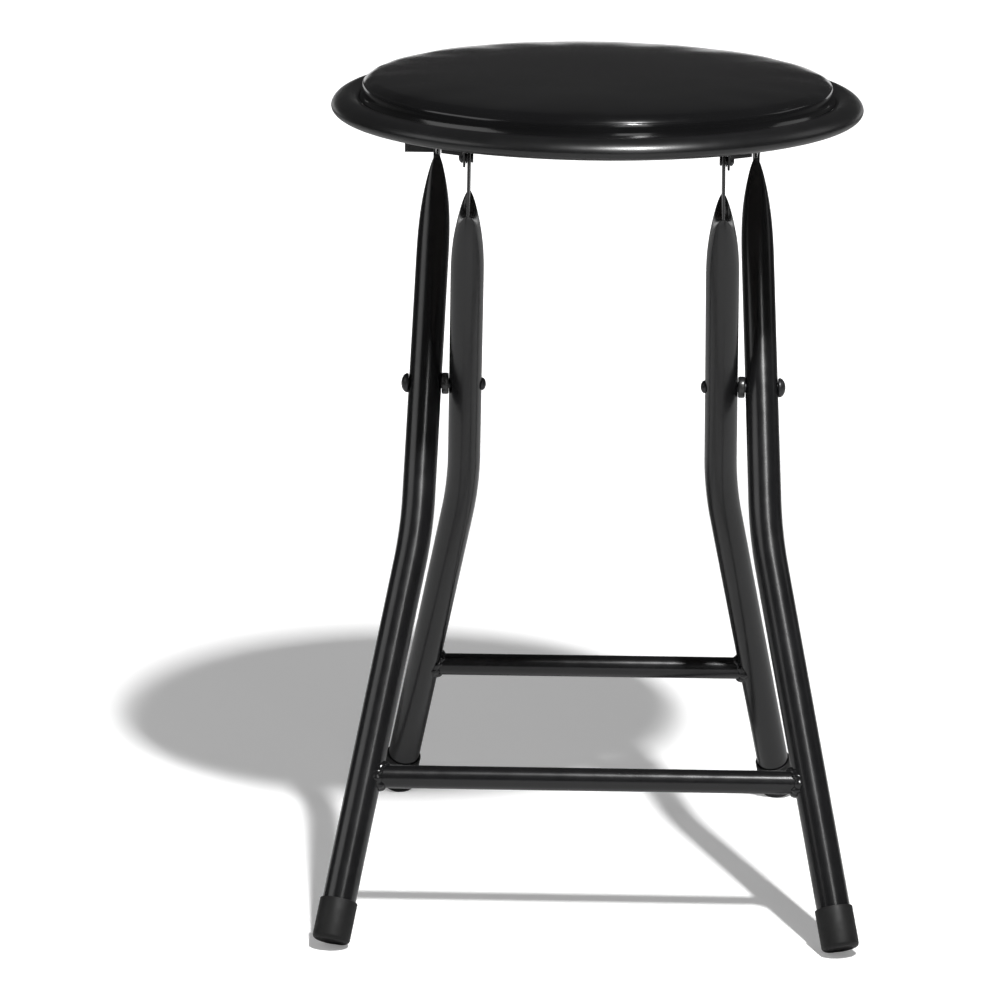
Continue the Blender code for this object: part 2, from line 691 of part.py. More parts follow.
def set_pivots(parts, shift):
    """Hang the moving pieces on empties that lie on their hinge lines."""
    seat = ("seat_", "front_", "rear_hook", "board_screw")
    inner = ("inner_",)
    for name, starts, where in (
            ("inner_frame_hinge", inner, (0, shift, PIVOT_HEIGHT)),
            ("seat_hinge", seat, (0, PIN_Y + shift, PIN_HEIGHT))):
        empty = bpy.data.objects.new(name, None)
        empty.location = where
        bpy.context.scene.collection.objects.link(empty)
        bpy.context.view_layer.update()
        for item in parts.objects:
            if item.name.startswith(starts):
                item.parent = empty
                item.matrix_parent_inverse = empty.matrix_world.inverted()


def main():
    """Build every piece of the stool."""
    clear_scene()
    parts = collection("folding_stool")
    cutters = collection("folding_stool_cutters")
    for name, side in SIDES_OF.items():
        leg(OUTER, name, side, parts, cutters)
        leg(INNER, name, side, parts, cutters)
        foot_cap(OUTER, name, side, parts, cutters)
        foot_cap(INNER, name, side, parts, cutters)
        pivot_rivet(name, side, parts)
        pivot_spacer(name, side, parts)
        front_bracket(name, side, parts, cutters)
        rear_hook(name, side, parts, cutters)
        front_pin(name, side, parts)
        rear_stud(name, side, parts)
    crossbar(OUTER, parts, cutters)
    crossbar(INNER, parts, cutters)
    seat_rim(parts)
    seat_board(parts, cutters)
    seat_cushion(parts)
    board_screws(parts)
    shade_round(parts)
    set_pivots(parts, centre_over_floor(parts))


main()
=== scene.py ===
"""Looks of a folding stool: padded seat in a steel ring on two crossing tube frames."""

import math

import bmesh
import bpy
import numpy as np
from mathutils import Matrix, Vector


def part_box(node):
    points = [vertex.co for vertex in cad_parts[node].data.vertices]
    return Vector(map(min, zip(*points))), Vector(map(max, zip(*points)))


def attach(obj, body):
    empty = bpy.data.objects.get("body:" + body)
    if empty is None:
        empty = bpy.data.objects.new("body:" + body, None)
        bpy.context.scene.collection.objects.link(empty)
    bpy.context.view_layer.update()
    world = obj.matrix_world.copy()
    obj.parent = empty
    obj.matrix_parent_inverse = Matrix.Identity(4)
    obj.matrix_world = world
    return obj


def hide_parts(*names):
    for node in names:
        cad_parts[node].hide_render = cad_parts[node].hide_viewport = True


bl_info = {
    "name": "Folding stool",
    "version": (1, 0, 0),
    "blender": (4, 5, 0),
    "location": "View3D > Sidebar > Stool",
    "description": "Builds the visible surfaces of a folding stool round its packed model",
    "category": "Object",
}

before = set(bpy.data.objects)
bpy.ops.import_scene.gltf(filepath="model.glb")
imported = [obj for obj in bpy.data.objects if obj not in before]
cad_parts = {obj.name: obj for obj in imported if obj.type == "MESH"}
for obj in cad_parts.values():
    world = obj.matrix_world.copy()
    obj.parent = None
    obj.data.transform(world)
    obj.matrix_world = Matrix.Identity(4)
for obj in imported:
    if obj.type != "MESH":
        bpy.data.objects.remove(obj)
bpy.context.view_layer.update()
SIDES = {"left": -1.0, "right": 1.0}
RIM_LOW, RIM_HIGH = (np.array(corner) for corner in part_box("seat_rim"))
MIDDLE_Y = float(RIM_LOW[1] + RIM_HIGH[1]) / 2
CLEARANCE = 0.0001
PLATE_EDGE, PIN_EDGE, SCREW_EDGE, BOARD_EDGE = 0.00025, 0.0003, 0.0002, 0.0006
BAR_ROWS, BAR_COLUMNS = 24, 48
BEAD_ROWS, BEAD_COLUMNS = 96, 14
RING_ROWS, RING_COLUMNS = 64, 240
AIR_PRESSURE, AIR_FRAMES, HOLD_STEPS = 4.0, 20, 8

# The stage: lamps as place, size and power, then the floor, the room and the camera
SEAT_SPOT = (0.0, MIDDLE_Y, 0.45)
LAMP_REACH = 2.7
LAMPS = {
    "key": (np.array((0.224, -0.524, 0.822)) * LAMP_REACH + SEAT_SPOT, (0.12, 0.22), 117.0),
    "front_box": ((0.75, -2.4, 1.35), (0.7, 0.8), 4.0),
    "gleam": (np.array((0.300, -0.720, 0.626)) * LAMP_REACH + SEAT_SPOT, (0.20, 0.85), 6.0),
    "left_box": ((-2.4, -0.75, 1.65), (1.9, 1.2), 11.0),
    "right_box": ((2.4, 0.9, 1.65), (1.2, 1.2), 3.6),
}
FLOOR_CORNERS = ((-9, -9, 0), (9, -9, 0), (9, 14, 0), (-9, 14, 0))
CARD_CORNERS = ((-3, 4.5, 0.02), (3, 4.5, 0.02), (3, 4.5, 0.60), (-3, 4.5, 0.60))
GLOW_BEGIN, GLOW_END, GLOW_LOW, GLOW_FULL = 0.75, 1.4, 0.21, 1.0
FLOOR_DIMMED = 0.35
ROOM_LIGHT, ROOM_MIRRORED, ROOM_SEEN = 0.12, 0.062, 1.0
CAMERA_YAW, CAMERA_PITCH, CAMERA_ROLL = -0.0199, 0.2569, -0.0090
CAMERA_PLACE = (0.0, MIDDLE_Y - 2.7227, 0.9365)
FOCAL_PIXELS, PICTURE_PIXELS, SENSOR_WIDTH = 4760.8, 1000, 36.0


def metres(name, text, value):
    """Make a length property."""
    return bpy.props.FloatProperty(name=name, description=text, default=value, unit="LENGTH",
                                   precision=5)


def shade(name, text, value):
    """Make a colour property."""
    return bpy.props.FloatVectorProperty(name=name, description=text, default=value,
                                         subtype="COLOR", size=3, min=0.0, max=1.0)


def degrees(name, text, value):
    """Make an angle property."""
    return bpy.props.FloatProperty(name=name, description=text, default=math.radians(value),
                                   subtype="ANGLE", unit="ROTATION")


class StoolFrameSizes(bpy.types.PropertyGroup):
    """Sizes of the tube frames."""

    tube: metres("Tube radius", "Outer radius of the leg tubes", 0.00965)
    blade: metres("Blade half thickness", "Half the thickness of the flattened tops", 0.0009)
    blade_width: metres("Blade half width", "Half the width of the flattened tops", 0.0138)
    dish: metres("Dish", "How far the flat runs on in the middle of its face", 0.007)
    pivot: metres("Pivot height", "Height of the centre rivets", 0.2916)
    outer_lean: degrees("Outer lean", "Lean of the outer legs", -30.38)
    inner_lean: degrees("Inner lean", "Lean of the inner legs", 23.79)
    outer_spread: metres("Outer spread", "Outer legs' distance from the middle plane", 0.0988)
    inner_spread: metres("Inner spread", "Inner legs' distance from the middle plane", 0.0752)
    lower_splay: degrees("Lower splay", "Splay of all legs below the bend", 10.12)
    outer_splay: degrees("Outer upper splay", "Splay of the outer legs above the bend", 1.8)
    inner_splay: degrees("Inner upper splay", "Splay of the inner legs above the bend", 1.12)
    outer_bend: metres("Outer bend", "Distance of the outer bend below the pivot", 0.0896)
    inner_bend: metres("Inner bend", "Distance of the inner bend below the pivot", 0.0744)
    bend_radius: metres("Bend radius", "Radius of the leg bends", 0.28)
    stud_height: metres("Stud height", "Height of the rear studs", 0.4279)
    pin_height: metres("Pin height", "Height of the front pins", 0.4385)
    outer_flat: metres("Outer flat", "Length of the outer blades below the stud", 0.0195)
    inner_flat: metres("Inner flat", "Length of the inner blades below the pin", 0.0317)
    outer_taper: metres("Outer taper", "Length over which the outer tops widen", 0.0520)
    inner_taper: metres("Inner taper", "Length over which the inner tops widen", 0.0420)
    bar: metres("Bar radius", "Radius of the crossbars", 0.0067)
    front_bar: metres("Front bar height", "Height of the front crossbar", 0.0874)
    rear_bar: metres("Rear bar height", "Height of the rear crossbar", 0.0933)
    bead: metres("Weld bead", "Radius of the weld beads", 0.0019)


class StoolFootSizes(bpy.types.PropertyGroup):
    """Sizes of the rubber caps."""

    radius: metres("Cap radius", "Outer radius of a cap", 0.01085)
    length: metres("Cap length", "Length of a cap along its leg", 0.024)
    floor: metres("Cap floor", "Thickness of a cap's closed end", 0.004)
    round: metres("Cap rounding", "Radius of a cap's lower edge", 0.0025)
    flat: metres("Cap flat", "Depth by which a cap is pressed flat on the floor", 0.0005)


class StoolSeatSizes(bpy.types.PropertyGroup):
    """Sizes of the seat."""

    rim_width: metres("Ring width", "Width of the ring's flat oval tube", 0.018)
    nose: metres("Ring nose", "How far the ring's widest line lies below its middle", 0.0009)
    height: metres("Cushion height", "Height of the cushion's middle above the floor", 0.4779)
    crown: metres("Crown", "Fall of the cushion's top from its middle to its shoulder", 0.0030)
    edge: metres("Shoulder", "Fall of the rounding towards the top's crease", 0.0034)
    full: metres("Fullness", "Extra stuffing at the front left of the cushion", 0.0022)
    ripple: metres("Ripple", "Depth of the waves along the cushion's shoulder", 0.0005)
    cap: metres("Swell limit", "How far a point of the cover may swell", 0.0010)
    voxel: metres("Cover mesh", "Spacing of the cover's points while it swells", 0.004)


class StoolColours(bpy.types.PropertyGroup):
    """Colours of the finishes."""

    coat: shade("Powder coat", "Satin black coat of the tubes", (0.0065, 0.0065, 0.007))
    rim: shade("Ring coat", "Satin black coat of the ring", (0.0060, 0.0060, 0.0063))
    vinyl: shade("Vinyl", "Glossy black cover of the cushion", (0.0050, 0.0050, 0.0053))
    rubber: shade("Rubber", "Black rubber of the foot caps", (0.006, 0.006, 0.006))
    bush: shade("Bush", "Black plastic of the bushes", (0.02, 0.02, 0.02))
    rivet: shade("Rivet", "Dark finish of rivets, pins and studs", (0.035, 0.035, 0.037))
    zinc: shade("Zinc", "Plating of the board screws", (0.42, 0.42, 0.43))
    board: shade("Board", "Dark stain of the seat board", (0.060, 0.050, 0.042))
    floor: shade("Floor", "Colour of the studio floor", (0.9, 0.9, 0.9))


def unit(vectors):
    """Scale vectors to length one."""
    return vectors / np.linalg.norm(vectors, axis=-1, keepdims=True)


def finish_mesh(name, points, faces, look, body, nodes, sharp=40.0):
    """Make a closed shaded piece from points and faces and hand it to its body."""
    mesh = bpy.data.meshes.new(name)
    mesh.from_pydata(points.reshape(-1, 3).tolist(), [], faces)
    work = bmesh.new()
    work.from_mesh(mesh)
    bmesh.ops.remove_doubles(work, verts=work.verts, dist=1e-6)
    bmesh.ops.dissolve_degenerate(work, edges=work.edges, dist=1e-7)
    bmesh.ops.recalc_face_normals(work, faces=work.faces)
    work.to_mesh(mesh)
    work.free()
    mesh.shade_smooth()
    mesh.set_sharp_from_angle(angle=math.radians(sharp))
    piece = bpy.data.objects.new(name, mesh)
    bpy.context.scene.collection.objects.link(piece)
    mesh.materials.append(look)
    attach(piece, body)
    if nodes:
        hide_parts(*nodes)
    return piece


def grid_faces(rows, columns, loop=False):
    """List quads of a grid whose columns close round; the rows close too when loop is set."""
    row = np.arange(rows if loop else rows - 1)
    a = (row * columns)[:, None] + np.arange(columns)[None, :]
    b = (row * columns)[:, None] + np.roll(np.arange(columns), -1)[None, :]
    after = ((row + 1) % rows * columns)[:, None]
    c = after + np.roll(np.arange(columns), -1)[None, :]
    d = after + np.arange(columns)[None, :]
    return np.stack([a, b, c, d], axis=-1).reshape(-1, 4).tolist()


def capped(grid):
    """Close a grid with a fan at both ends and give its points and faces."""
    rows, columns = grid.shape[:2]
    points = np.concatenate([grid.reshape(-1, 3), grid[0].mean(0)[None], grid[-1].mean(0)[None]])
    faces = grid_faces(rows, columns)
    turn = np.arange(columns)
    after = np.roll(turn, -1)
    first = np.stack([after, turn, np.full(columns, rows * columns)], -1)
    last_row = (rows - 1) * columns
    last = np.stack([turn + last_row, after + last_row,
                     np.full(columns, rows * columns + 1)], -1)
    return points, faces + first.tolist() + last.tolist()


def revolve(profile, origin, direction, columns):
    """Turn radius and distance pairs about an axis: point = origin + axis*d + r*(cos, sin)."""
    along = unit(np.array(direction, float))
    helper = np.array((0.0, 1.0, 0.0)) if abs(along[0]) > abs(along[1]) else np.array((1.0, 0, 0))
    first = unit(helper - along * (helper @ along))
    second = np.cross(along, first)
    turn = np.linspace(0, 2 * math.pi, columns, endpoint=False)
    spokes = np.cos(turn)[:, None] * first + np.sin(turn)[:, None] * second
    profile = np.array(profile, float)
    return (np.array(origin, float) + profile[:, 1, None, None] * along
            + profile[:, 0, None, None] * spokes[None])


def arc(radius, height, start, outward, steps=10):
    """Profile of a dome: radius*cos(t) against start + height*sin(t) up to near its top."""
    turn = np.linspace(0, math.pi / 2 * 0.97, steps)
    return list(zip(radius * np.cos(turn), start + outward * height * np.sin(turn)))


class LegShape:
    """Where the surface of one pair of legs lies."""

    def __init__(self, sizes, outer):
        self.s = sizes
        self.lean = sizes.outer_lean if outer else sizes.inner_lean
        self.spread = sizes.outer_spread if outer else sizes.inner_spread
        self.splay = sizes.outer_splay if outer else sizes.inner_splay
        self.bend = sizes.outer_bend if outer else sizes.inner_bend
        height = sizes.stud_height if outer else sizes.pin_height
        self.top = (height - sizes.pivot) / math.cos(self.lean)
        self.flat = sizes.outer_flat if outer else sizes.inner_flat
        self.taper = sizes.outer_taper if outer else sizes.inner_taper
        bar = sizes.front_bar if outer else sizes.rear_bar
        self.bar = (sizes.pivot - bar) / math.cos(self.lean)
        self.down = np.array((0.0, math.sin(self.lean), -math.cos(self.lean)))

    def middle(self, side, distance):
        """Axis point and directions: straight, then a circular bend, then straight again."""
        distance = np.asarray(distance, float)
        s = self.s
        tangent = s.bend_radius * math.tan((s.lower_splay - self.splay) / 2)
        begin = self.bend - tangent * math.cos(self.splay)
        end = self.bend + tangent * math.cos(s.lower_splay)
        corner = self.spread + self.bend * math.tan(self.splay)
        sine = math.sin(self.splay) + np.clip(distance - begin, 0, None) / s.bend_radius
        angle = np.clip(np.arcsin(np.clip(sine, 0, 1)), self.splay, s.lower_splay)
        start = self.spread + begin * math.tan(self.splay)
        half = np.where(distance < begin, self.spread + distance * math.tan(self.splay),
                        np.where(distance > end,
                                 corner + (distance - self.bend) * math.tan(s.lower_splay),
                                 start + s.bend_radius * (math.cos(self.splay) - np.cos(angle))))
        point = np.zeros(distance.shape + (3,))
        point[..., 0] = side * half
        point += distance[..., None] * self.down
        point += np.array((0.0, MIDDLE_Y, s.pivot))
        out = np.array((side, 0.0, 0.0))
        along = np.sin(angle)[..., None] * out + np.cos(angle)[..., None] * self.down
        across = np.cos(angle)[..., None] * out - np.sin(angle)[..., None] * self.down
        return point, along, across, np.cross(along, across)

    def sole(self, feet):
        """Distance of the middle of the cap's end face."""
        tilt = math.acos(math.cos(self.lean) * math.cos(self.s.lower_splay))
        rise = (feet.radius - feet.round) * math.sin(tilt)
        rise += feet.round * (1 - math.cos(tilt)) - feet.flat
        return (self.s.pivot - rise) / math.cos(self.lean)

    def surface(self, side, foot, columns=56):
        """Squeezed tube: a superellipse whose half thickness grows as a sine down the leg."""
        s = self.s
        start = -self.top + self.flat
        turn = np.radians(np.linspace(80, 0, 14))
        rows = np.concatenate([
            -self.top - s.blade_width * np.sin(turn),
            np.linspace(-self.top, start, 8)[1:],
            start + (self.taper + s.dish) * np.linspace(0, 1, 70)[1:] ** 1.5,
            np.linspace(start + self.taper + s.dish, self.bend - 0.025, 12)[1:],
            np.linspace(self.bend - 0.025, self.bend + 0.025, 26)[1:],
            np.linspace(self.bend + 0.025, foot, 24)[1:]])
        angle = np.linspace(0, 2 * math.pi, columns, endpoint=False)

        def thickness(where):
            share = np.clip((where - start) / self.taper, 0, 1)
            return s.blade + (s.tube - s.blade) * np.sin(math.pi / 2 * share ** 0.5)

        plain = thickness(rows)
        lost = (s.tube - plain) / (s.tube - s.blade)
        wide = plain + (s.blade_width - s.blade) * lost
        over = np.clip(-self.top - rows, 0, None)
        wide = np.where(over > 0, np.sqrt(np.clip(s.blade_width ** 2 - over ** 2, 0, None)), wide)
        power = 2 / (2 + 3.0 * lost)
        sine, cosine = np.sin(angle), np.cos(angle)
        spread = np.sign(sine) * np.abs(sine) ** power[:, None]
        thin = np.sign(cosine) * np.abs(cosine) ** power[:, None]
        dished = thickness(rows[:, None] - s.dish * (1 - spread ** 2))
        point, _, across, broad = self.middle(side, rows)
        return (point[:, None] + across[:, None] * (dished * thin)[..., None]
                + broad[:, None] * (wide[:, None] * spread)[..., None])


def node(tree, kind, **values):
    """Add a shader node and set its plain properties and input values."""
    made = tree.nodes.new(kind)
    for key, value in values.items():
        if key in made.inputs:
            made.inputs[key].default_value = value
        else:
            setattr(made, key, value)
    return made


def noise(tree, scale, detail=3.0, stretch=(1.0, 1.0, 1.0)):
    """Noise on object coordinates, scaled in waves to the metre."""
    place = node(tree, "ShaderNodeTexCoord")
    turn = node(tree, "ShaderNodeMapping")
    turn.inputs["Scale"].default_value = stretch
    tree.links.new(place.outputs["Object"], turn.inputs["Vector"])
    made = node(tree, "ShaderNodeTexNoise", Scale=scale, Detail=detail)
    tree.links.new(turn.outputs["Vector"], made.inputs["Vector"])
    return made.outputs["Fac"]


def ranged(tree, source, low, high):
    """Spread a 0 to 1 pattern between two values."""
    made = node(tree, "ShaderNodeMapRange")
    made.inputs["From Min"].default_value = 0.3
    made.inputs["From Max"].default_value = 0.7
    made.inputs["To Min"].default_value = low
    made.inputs["To Max"].default_value = high
    tree.links.new(source, made.inputs["Value"])
    return made.outputs["Result"]


def tinted(tree, source, colour, spread):
    """Blend between a darker and a lighter shade of a colour."""
    made = node(tree, "ShaderNodeValToRGB")
    low, high = made.color_ramp.elements
    low.position, high.position = 0.3, 0.7
    low.color = tuple(c * (1 - spread) for c in colour) + (1.0,)
    high.color = tuple(min(1.0, c * (1 + spread)) for c in colour) + (1.0,)
    tree.links.new(source, made.inputs["Fac"])
    return made.outputs["Color"]


def raised(tree, source, strength, depth, under=None):
    """Bump from a pattern, on top of another bump where one is given."""
    made = node(tree, "ShaderNodeBump", Strength=strength, Distance=depth)
    tree.links.new(source, made.inputs["Height"])
    if under:
        tree.links.new(under, made.inputs["Normal"])
    return made.outputs["Normal"]


def blank(name, **sockets):
    """Start a material with its Principled shader's plain values."""
    made = bpy.data.materials.new(name)
    made.use_nodes = True
    shader = made.node_tree.nodes["Principled BSDF"]
    for key, value in sockets.items():
        shader.inputs[key.replace("_", " ")].default_value = value
    return made, made.node_tree, shader


def powder_coat(name, colour, low, high, peel=0.10):
    """Satin coat: uneven gloss and a fine orange peel."""
    made, tree, shader = blank(name, Specular_IOR_Level=0.5)
    tree.links.new(tinted(tree, noise(tree, 35.0), colour, 0.18), shader.inputs["Base Color"])
    tree.links.new(ranged(tree, noise(tree, 90.0), low, high), shader.inputs["Roughness"])
    skin = raised(tree, noise(tree, 900.0, 2.0), peel, 0.0003)
    tree.links.new(skin, shader.inputs["Normal"])
    return made


def vinyl(name, colour):
    """Glossy cover: fine pebble grain under soft waves and uneven gloss."""
    made, tree, shader = blank(name)
    tree.links.new(tinted(tree, noise(tree, 22.0), colour, 0.15), shader.inputs["Base Color"])
    tree.links.new(ranged(tree, noise(tree, 60.0), 0.11, 0.16), shader.inputs["Roughness"])
    place = node(tree, "ShaderNodeTexCoord")
    grain = node(tree, "ShaderNodeTexVoronoi", Scale=950.0)
    tree.links.new(place.outputs["Object"], grain.inputs["Vector"])
    pebble = raised(tree, grain.outputs["Distance"], 0.03, 0.0001)
    waves = raised(tree, noise(tree, 40.0, 2.0), 0.03, 0.002, pebble)
    tree.links.new(waves, shader.inputs["Normal"])
    return made


def rubber(name, colour):
    """Dull rubber with a fine matt skin."""
    made, tree, shader = blank(name, Specular_IOR_Level=0.28)
    tree.links.new(tinted(tree, noise(tree, 80.0), colour, 0.25), shader.inputs["Base Color"])
    tree.links.new(ranged(tree, noise(tree, 150.0), 0.5, 0.65), shader.inputs["Roughness"])
    skin = raised(tree, noise(tree, 1500.0, 2.0), 0.2, 0.0002)
    tree.links.new(skin, shader.inputs["Normal"])
    return made


def worn_metal(name, colour, metal, low, high):
    """Plated or blackened metal with rubbed patches."""
    made, tree, shader = blank(name, Metallic=metal)
    tree.links.new(tinted(tree, noise(tree, 240.0), colour, 0.35), shader.inputs["Base Color"])
    tree.links.new(ranged(tree, noise(tree, 500.0), low, high), shader.inputs["Roughness"])
    skin = raised(tree, noise(tree, 1800.0, 2.0), 0.08, 0.0002)
    tree.links.new(skin, shader.inputs["Normal"])
    return made


def plywood(name, colour):
    """Sanded veneer: long streaks of grain with fine pores."""
    made, tree, shader = blank(name)
    streaks = noise(tree, 12.0, 6.0, (1.0, 12.0, 12.0))
    tree.links.new(tinted(tree, streaks, colour, 0.3), shader.inputs["Base Color"])
    tree.links.new(ranged(tree, noise(tree, 60.0), 0.55, 0.7), shader.inputs["Roughness"])
    pores = raised(tree, noise(tree, 120.0, 4.0, (1.0, 14.0, 14.0)), 0.25, 0.0003)
    tree.links.new(pores, shader.inputs["Normal"])
    return made


def looks():
    """Make the materials once and hand them out by name."""
    store = bpy.data.materials
    c = bpy.context.scene.stool_colours
    if "tube_powder_coat" not in store:
        powder_coat("tube_powder_coat", c.coat, 0.20, 0.26, 0.05)
        powder_coat("ring_powder_coat", c.rim, 0.28, 0.34, 0.05)
        powder_coat("plate_powder_coat", c.coat, 0.30, 0.40, 0.06)
        vinyl("cushion_vinyl", c.vinyl)
        rubber("cap_rubber", c.rubber)
        powder_coat("bush_plastic", c.bush, 0.22, 0.32)
        worn_metal("rivet_black", c.rivet, 0.6, 0.28, 0.42)
        worn_metal("screw_zinc", c.zinc, 1.0, 0.25, 0.4)
        plywood("board_veneer", c.board)
    return store


class StoolPiece:
    """What every piece operator shares."""

    bl_options = {"REGISTER", "UNDO"}

    def execute(self, context):
        """Build the piece and raise if it failed."""
        self.build(context.scene.stool_frame, context.scene.stool_feet,
                   context.scene.stool_seat, looks())
        return {"FINISHED"}


class OBJECT_OT_stool_legs(StoolPiece, bpy.types.Operator):
    """Add the four bent tube legs with their flattened tops."""

    bl_idname = "object.stool_legs"
    bl_label = "Legs"

    def build(self, sizes, feet, seat, store):
        """Carry the squeezed section along each leg."""
        for kind in ("outer", "inner"):
            shape = LegShape(sizes, kind == "outer")
            foot = shape.sole(feet) - feet.floor
            for name, side in SIDES.items():
                points, faces = capped(shape.surface(side, foot))
                finish_mesh(f"{kind}_tube_{name}", points, faces, store["tube_powder_coat"],
                            f"{kind}_frame", [f"{kind}_leg_{name}"], 60)


def bar_reach(shape, side, radius, turn):
    """Where lines along the bar meet the leg: the nearer root of a line-cylinder equation."""
    centre, along = shape.middle(side, shape.bar)[:2]
    offset = np.stack([np.zeros_like(turn), radius * np.cos(turn), radius * np.sin(turn)], -1)
    start = np.array((0.0, centre[1], centre[2])) + offset - centre
    run = np.array((side, 0.0, 0.0))
    flat_run = run - along * (run @ along)
    flat_start = start - (start @ along)[:, None] * along
    a = flat_run @ flat_run
    b = flat_start @ flat_run
    c = (flat_start ** 2).sum(-1) - shape.s.tube ** 2
    return centre, offset, (-b - np.sqrt(np.clip(b * b - a * c, 0, None))) / a


class OBJECT_OT_stool_bars(StoolPiece, bpy.types.Operator):
    """Add the two crossbars, each shaped to the tubes that it meets."""

    bl_idname = "object.stool_bars"
    bl_label = "Crossbars"

    def build(self, sizes, feet, seat, store):
        """Run a circle from leg to leg and end each line on the leg's surface."""
        turn = np.linspace(0, 2 * math.pi, BAR_COLUMNS, endpoint=False)
        for kind in ("outer", "inner"):
            shape = LegShape(sizes, kind == "outer")
            centre, offset, left = bar_reach(shape, -1.0, sizes.bar, turn)
            right = bar_reach(shape, 1.0, sizes.bar, turn)[2]
            share = np.linspace(0, 1, BAR_ROWS)[:, None]
            grid = np.zeros((BAR_ROWS, BAR_COLUMNS, 3))
            grid[..., 0] = -left * (1 - share) + right * share
            grid[..., 1:] = (np.array((centre[1], centre[2])) + offset[:, 1:])[None]
            points, faces = capped(grid)
            finish_mesh(f"{kind}_bar", points, faces, store["tube_powder_coat"],
                        f"{kind}_frame", [f"{kind}_crossbar"], 60)


class OBJECT_OT_stool_welds(StoolPiece, bpy.types.Operator):
    """Add the weld beads where the crossbars meet the legs."""

    bl_idname = "object.stool_welds"
    bl_label = "Weld beads"

    def build(self, sizes, feet, seat, store):
        """Carry a lumpy circle along each saddle-shaped joint."""
        turn = np.linspace(0, 2 * math.pi, BEAD_ROWS, endpoint=False)
        ring = np.linspace(0, 2 * math.pi, BEAD_COLUMNS, endpoint=False)
        for kind in ("outer", "inner"):
            shape = LegShape(sizes, kind == "outer")
            for number, (name, side) in enumerate(SIDES.items()):
                centre, offset, reach = bar_reach(shape, side, sizes.bar, turn)
                path = np.array((0.0, centre[1], centre[2])) + offset
                path[:, 0] = side * reach
                lump = sizes.bead * (1 + 0.16 * np.sin(11 * turn + number)
                                     + 0.10 * np.sin(5 * turn + 2.1 * number + 1))
                radial = unit(offset)
                inward = np.array((-side, 0.0, 0.0))
                grid = (path[:, None]
                        + (lump[:, None] * np.cos(ring))[..., None] * radial[:, None]
                        + (1.5 * lump[:, None] * np.sin(ring))[..., None] * inward)
                faces = grid_faces(BEAD_ROWS, BEAD_COLUMNS, True)
                finish_mesh(f"{kind}_weld_{name}", grid, faces, store["tube_powder_coat"],
                            f"{kind}_frame", [], 80)


class OBJECT_OT_stool_feet(StoolPiece, bpy.types.Operator):
    """Add the four rubber foot caps."""

    bl_idname = "object.stool_feet"
    bl_label = "Foot caps"

    def build(self, sizes, feet, seat, store):
        """Turn a cup with a rounded lip and edge, pressed flat at the floor."""
        quarter = np.linspace(0, math.pi / 2, 8)
        inner = sizes.tube + CLEARANCE
        half = np.linspace(math.pi, 0, 9)
        wall = (feet.radius - inner) / 2
        profile = [(0.0001, -feet.floor), (inner, -feet.floor)]
        profile += list(zip(inner + wall + wall * np.cos(half),
                            -feet.length + wall - wall * np.sin(half)))
        profile += list(zip(feet.radius - feet.round * (1 - np.cos(quarter)),
                            -feet.round * (1 - np.sin(quarter))))
        profile += [(feet.radius * 0.45, 0.0), (0.0001, 0.0)]
        for kind in ("outer", "inner"):
            shape = LegShape(sizes, kind == "outer")
            for name, side in SIDES.items():
                centre, along = shape.middle(side, shape.sole(feet))[:2]
                grid = revolve(profile, centre, along, 64)
                grid[..., 2] = np.maximum(grid[..., 2], 0.0)
                points, faces = capped(grid)
                finish_mesh(f"{kind}_cap_{name}", points, faces, store["cap_rubber"],
                            f"{kind}_frame", [f"{kind}_foot_{name}"], 50)


class OBJECT_OT_stool_rivets(StoolPiece, bpy.types.Operator):
    """Add the centre rivets and the bushes between the tubes."""

    bl_idname = "object.stool_rivets"
    bl_label = "Rivets and bushes"

    def build(self, sizes, feet, seat, store):
        """Turn the rivets' domes and shank and the bushes' rounded ring."""
        start = sizes.inner_spread - sizes.tube
        end = sizes.outer_spread + sizes.tube
        centre = (0.0, MIDDLE_Y, sizes.pivot)
        shank, tail, head, bore, bush_out = 0.0030, 0.0038, 0.00575, 0.0034, 0.00635
        profile = arc(tail, 0.0022, start - 0.0003, -1)[::-1]
        profile += [(tail, start), (shank, start), (shank, end), (0.0052, end)]
        profile += [(head, end + 0.0005)] + arc(head, 0.0036, end + 0.0008, 1)
        low, high = start + 2 * sizes.tube + 0.0002, end - 2 * sizes.tube - 0.0002
        bush = [(bore, low), (0.0058, low), (0.0062, low + 0.0003), (bush_out, low + 0.0008),
                (bush_out, high - 0.0008), (0.0062, high - 0.0003), (0.0058, high),
                (bore, high)]
        for name, side in SIDES.items():
            points, faces = capped(revolve(profile, centre, (side, 0, 0), 40))
            finish_mesh(f"centre_rivet_{name}", points, faces, store["rivet_black"],
                        "outer_frame", [f"pivot_rivet_{name}"], 50)
            grid = revolve(bush, centre, (side, 0, 0), 48)
            finish_mesh(f"centre_bush_{name}", grid, grid_faces(len(bush), 48, True),
                        store["bush_plastic"], "outer_frame",
                        [f"pivot_spacer_{name}"], 50)


